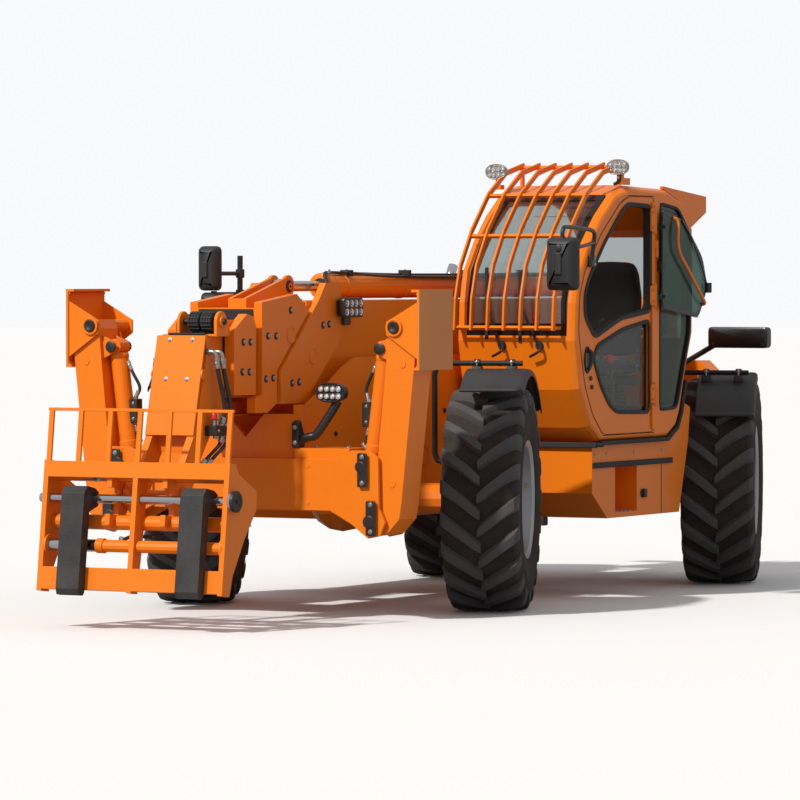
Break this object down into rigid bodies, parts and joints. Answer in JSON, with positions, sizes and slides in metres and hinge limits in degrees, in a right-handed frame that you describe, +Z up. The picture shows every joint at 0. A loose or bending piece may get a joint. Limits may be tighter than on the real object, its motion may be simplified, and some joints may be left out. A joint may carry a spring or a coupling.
{
  "type": "telehandler",
  "caption": "Telescopic handler with a side cab, a sliding boom, a tilting fork carriage, folded front stabilisers and steered wheels.",
  "frame": {"origin": "on the ground under the centre of the machine's box", "axes": "-Y forwards, +X to the machine's left, +Z up"},
  "size_m": [2.646, 6.4158, 2.5347],
  "materials": {
    "paint": "gloss orange enamel",
    "black_plastic": "satin black moulded plastic",
    "black_steel": "semi-gloss black paint",
    "tyre": "dusty dark rubber",
    "rim": "silver-grey paint",
    "chrome": "polished hard chrome",
    "engine": "dark grey cast iron",
    "glass": "lightly tinted glass",
    "seat": "black woven fabric"
  },
  "bodies": {
    "root": {"main_frame": "paint", "front_axle": "paint", "rear_axle": "paint", "cab_shell": "paint", "windscreen": "glass", "rear_window": "glass", "right_window": "glass", "door_upper_window": "glass", "windscreen_guard": "paint", "rear_visor": "paint", "seat": "seat", "steering_console": "black_plastic", "engine_bay": "paint", "engine_block": "engine", "step_box": "paint", "counterweight": "paint", "left_mirror": "black_plastic", "right_mirrors": "black_plastic", "left_rear_light": "black_steel", "right_rear_light": "black_steel", "nose_light": "black_steel"},
    "front_left_steering": {"front_left_knuckle": "paint", "front_left_fender": "black_plastic"},
    "front_left_wheel": {"front_left_rim": "rim", "front_left_tyre": "tyre"},
    "front_right_steering": {"front_right_knuckle": "paint", "front_right_fender": "black_plastic"},
    "front_right_wheel": {"front_right_rim": "rim", "front_right_tyre": "tyre"},
    "rear_left_steering": {"rear_left_knuckle": "paint", "rear_left_fender": "black_plastic"},
    "rear_left_wheel": {"rear_left_rim": "rim", "rear_left_tyre": "tyre"},
    "rear_right_steering": {"rear_right_knuckle": "paint", "rear_right_fender": "black_plastic"},
    "rear_right_wheel": {"rear_right_rim": "rim", "rear_right_tyre": "tyre"},
    "left_stabiliser": {"left_stabiliser_leg": "paint"},
    "left_stabiliser_foot": {"left_stabiliser_foot": "paint"},
    "left_stabiliser_ram_barrel": {"left_stabiliser_barrel": "paint"},
    "left_stabiliser_ram_rod": {"left_stabiliser_rod": "chrome"},
    "right_stabiliser": {"right_stabiliser_leg": "paint"},
    "right_stabiliser_foot": {"right_stabiliser_foot": "paint"},
    "right_stabiliser_ram_barrel": {"right_stabiliser_barrel": "paint"},
    "right_stabiliser_ram_rod": {"right_stabiliser_rod": "chrome"},
    "boom": {"boom_outer": "paint", "extension_barrel": "paint"},
    "section_2": {"boom_section_2": "paint", "extension_rod": "chrome"},
    "section_3": {"boom_section_3": "paint"},
    "head": {"boom_head": "paint"},
    "carriage": {"fork_carriage": "paint", "fork_shaft": "chrome"},
    "left_fork": {"left_fork": "black_steel"},
    "right_fork": {"right_fork": "black_steel"},
    "lift_ram_barrel": {"lift_barrel": "paint"},
    "lift_ram_rod": {"lift_rod": "chrome"},
    "cab_door": {"cab_door": "paint", "door_glass": "glass"},
    "hood": {"engine_hood": "paint"}
  },
  "joints": [
    {"name": "front_left_steer", "type": "hinge", "parent": "root", "child": "front_left_steering", "pos_m": [0.8, -0.777, 0.625], "axis": [0, 0, 1], "range_deg": [-50, 10]},
    {"name": "front_left_spin", "type": "hinge", "parent": "front_left_steering", "child": "front_left_wheel", "pos_m": [0.92216, -0.73254, 0.625], "axis": [0.9397, 0.342, 0], "continuous": true},
    {"name": "front_right_steer", "type": "hinge", "parent": "root", "child": "front_right_steering", "pos_m": [-0.8, -0.777, 0.625], "axis": [0, 0, 1], "range_deg": [-50, 10]},
    {"name": "front_right_spin", "type": "hinge", "parent": "front_right_steering", "child": "front_right_wheel", "pos_m": [-0.92216, -0.82146, 0.625], "axis": [0.9397, 0.342, 0], "continuous": true},
    {"name": "rear_left_steer", "type": "hinge", "parent": "root", "child": "rear_left_steering", "pos_m": [0.8, 2.318, 0.625], "axis": [0, 0, 1], "range_deg": [-51, 9]},
    {"name": "rear_left_spin", "type": "hinge", "parent": "rear_left_steering", "child": "rear_left_wheel", "pos_m": [0.92137, 2.36459, 0.625], "axis": [0.9336, 0.3584, 0], "continuous": true},
    {"name": "rear_right_steer", "type": "hinge", "parent": "root", "child": "rear_right_steering", "pos_m": [-0.8, 2.318, 0.625], "axis": [0, 0, 1], "range_deg": [-51, 9]},
    {"name": "rear_right_spin", "type": "hinge", "parent": "rear_right_steering", "child": "rear_right_wheel", "pos_m": [-0.92137, 2.27141, 0.625], "axis": [0.9336, 0.3584, 0], "continuous": true},
    {"name": "cab_door_swing", "type": "hinge", "parent": "root", "child": "cab_door", "pos_m": [1.094, 1.0545, 1.5], "axis": [0, 0, 1], "range_deg": [0, 90]},
    {"name": "hood_swing", "type": "hinge", "parent": "root", "child": "hood", "pos_m": [-0.3353, 0.788, 1.47], "axis": [0, 1, 0], "range_deg": [0, 60]},
    {"name": "boom_lift", "type": "hinge", "parent": "root", "child": "boom", "pos_m": [0, 2.788, 1.575], "axis": [-1, 0, 0], "range_deg": [0, 68]},
    {"name": "boom_extend", "type": "slide", "parent": "boom", "child": "section_2", "axis": [0, -1, 0], "range_m": [0, 3.2]},
    {"name": "section_3_slide", "type": "slide", "parent": "section_2", "child": "section_3", "axis": [0, -1, 0], "range_m": [0, 3.2]},
    {"name": "section_4_slide", "type": "slide", "parent": "section_3", "child": "head", "axis": [0, -1, 0], "range_m": [0, 3.2]},
    {"name": "carriage_tilt", "type": "hinge", "parent": "head", "child": "carriage", "pos_m": [0, -2.872, 0.7], "axis": [1, 0, 0], "range_deg": [-12, 105]},
    {"name": "left_fork_slide", "type": "slide", "parent": "carriage", "child": "left_fork", "axis": [1, 0, 0], "range_m": [-0.26, 0.06]},
    {"name": "right_fork_slide", "type": "slide", "parent": "carriage", "child": "right_fork", "axis": [1, 0, 0], "range_m": [-0.11, 0.21]},
    {"name": "lift_ram_hinge", "type": "hinge", "parent": "boom", "child": "lift_ram_barrel", "pos_m": [0, 1.788, 1.12], "axis": [1, 0, 0], "range_deg": [0, 97.44]},
    {"name": "lift_ram_slide", "type": "slide", "parent": "lift_ram_barrel", "child": "lift_ram_rod", "axis": [0, -0.9516, -0.3074], "range_m": [0, 0.85266]},
    {"name": "left_stabiliser_swing", "type": "hinge", "parent": "root", "child": "left_stabiliser", "pos_m": [0.816, -1.832, 0.545], "axis": [0, 1, 0], "range_deg": [0, 104]},
    {"name": "left_stabiliser_ram_hinge", "type": "hinge", "parent": "left_stabiliser", "child": "left_stabiliser_ram_barrel", "pos_m": [0.845, -1.832, 1.48], "axis": [0, 1, 0], "range_deg": [0, 8.84]},
    {"name": "left_stabiliser_ram_slide", "type": "slide", "parent": "left_stabiliser_ram_barrel", "child": "left_stabiliser_ram_rod", "axis": [-0.1259, 0, -0.992], "range_m": [0, 0.45719]},
    {"name": "left_stabiliser_foot_swing", "type": "hinge", "parent": "left_stabiliser", "child": "left_stabiliser_foot", "pos_m": [0.955, -1.832, 1.595], "axis": [0, -1, 0], "range_deg": [0, 20]},
    {"name": "right_stabiliser_swing", "type": "hinge", "parent": "root", "child": "right_stabiliser", "pos_m": [-0.816, -1.832, 0.545], "axis": [0, -1, 0], "range_deg": [0, 104]},
    {"name": "right_stabiliser_ram_hinge", "type": "hinge", "parent": "right_stabiliser", "child": "right_stabiliser_ram_barrel", "pos_m": [-0.845, -1.832, 1.48], "axis": [0, -1, 0], "range_deg": [0, 8.84]},
    {"name": "right_stabiliser_ram_slide", "type": "slide", "parent": "right_stabiliser_ram_barrel", "child": "right_stabiliser_ram_rod", "axis": [0.1259, 0, -0.992], "range_m": [0, 0.45719]},
    {"name": "right_stabiliser_foot_swing", "type": "hinge", "parent": "right_stabiliser", "child": "right_stabiliser_foot", "pos_m": [-0.955, -1.832, 1.595], "axis": [0, 1, 0], "range_deg": [0, 20]}
  ],
  "couplings": [
    {"joint": "front_right_steer", "follows": "front_left_steer", "ratio": 1},
    {"joint": "rear_right_steer", "follows": "rear_left_steer", "ratio": 1},
    {"joint": "section_3_slide", "follows": "boom_extend", "ratio": 1},
    {"joint": "section_4_slide", "follows": "boom_extend", "ratio": 1},
    {"joint": "lift_ram_hinge", "follows": "boom_lift", "ratio": 1.4329},
    {"joint": "lift_ram_slide", "follows": "boom_lift", "m_per_rad": 0.71844},
    {"joint": "left_stabiliser_ram_hinge", "follows": "left_stabiliser_swing", "ratio": 0.084957},
    {"joint": "left_stabiliser_ram_slide", "follows": "left_stabiliser_swing", "m_per_rad": 0.25187},
    {"joint": "right_stabiliser_ram_hinge", "follows": "right_stabiliser_swing", "ratio": 0.084957},
    {"joint": "right_stabiliser_ram_slide", "follows": "right_stabiliser_swing", "m_per_rad": 0.25187}
  ]
}
